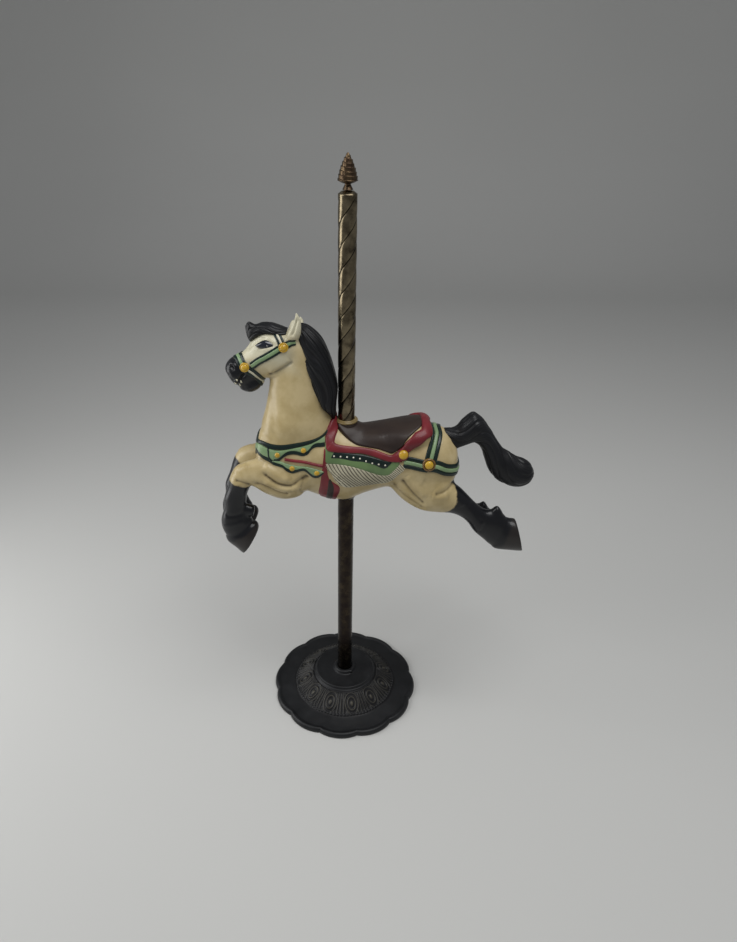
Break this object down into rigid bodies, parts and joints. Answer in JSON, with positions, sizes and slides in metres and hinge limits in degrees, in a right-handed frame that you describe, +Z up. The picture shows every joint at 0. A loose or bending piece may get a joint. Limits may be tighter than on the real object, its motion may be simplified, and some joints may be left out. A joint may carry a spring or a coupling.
{
  "type": "carousel horse statue",
  "caption": "Galloping carousel horse with a painted coat and carved trappings, set on a twisted brass pole with a pointed finial and a scalloped domed cast iron base.",
  "frame": {"origin": "on the pole's axis, at the underside of the base, where the stand rests on the floor", "axes": "+Z up along the pole; the horse faces -X; -Y is its near side, the side the reference view shows"},
  "size_m": [0.7378, 0.3886, 1.37],
  "materials": {
    "base_iron": "blackened cast iron, satin, with worn bronze-brown high spots",
    "pole_brass": "antiqued brass, darkened in the grooves and towards the foot",
    "finial_brass": "antiqued brass casting, rubbed bright on the ridges",
    "horse_coat": "glossy cream enamel over a hollow metal casting, with black points and painted trappings"
  },
  "bodies": {
    "root": {"base": "base_iron", "pole": "pole_brass", "finial": "finial_brass", "horse": "horse_coat"}
  },
  "joints": []
}
